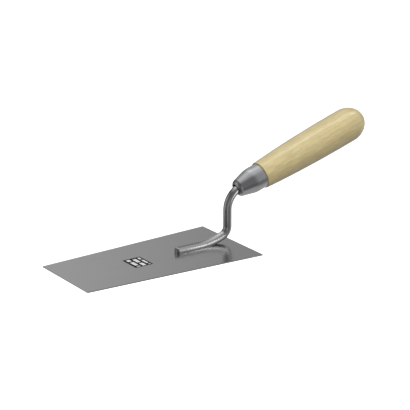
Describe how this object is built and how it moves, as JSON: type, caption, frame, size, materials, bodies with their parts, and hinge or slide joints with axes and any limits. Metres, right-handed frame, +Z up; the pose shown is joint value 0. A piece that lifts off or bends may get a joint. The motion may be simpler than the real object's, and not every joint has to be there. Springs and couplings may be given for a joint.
{
  "type": "brick trowel",
  "caption": "Masonry trowel with a flat trapezoidal steel blade, a bent round rod tang welded on, a steel ferrule and a turned wooden handle.",
  "frame": {"origin": "middle of the blade's flat underside, which the trowel rests on", "axes": "+X along the blade from its toe to its heel, the way the handle points; +Y across the blade; +Z up, square to the blade"},
  "size_m": [0.3319, 0.0966, 0.1071],
  "materials": {
    "blade_steel": "finely ground, satin, clear lacquered",
    "tang_steel": "drawn rod, polished, clear lacquered",
    "ferrule_steel": "drawn sheet, satin",
    "handle_beech": "turned and sanded, thin satin varnish"
  },
  "bodies": {
    "root": {"blade": "blade_steel", "tang": "tang_steel", "ferrule": "ferrule_steel", "handle": "handle_beech"}
  },
  "joints": []
}
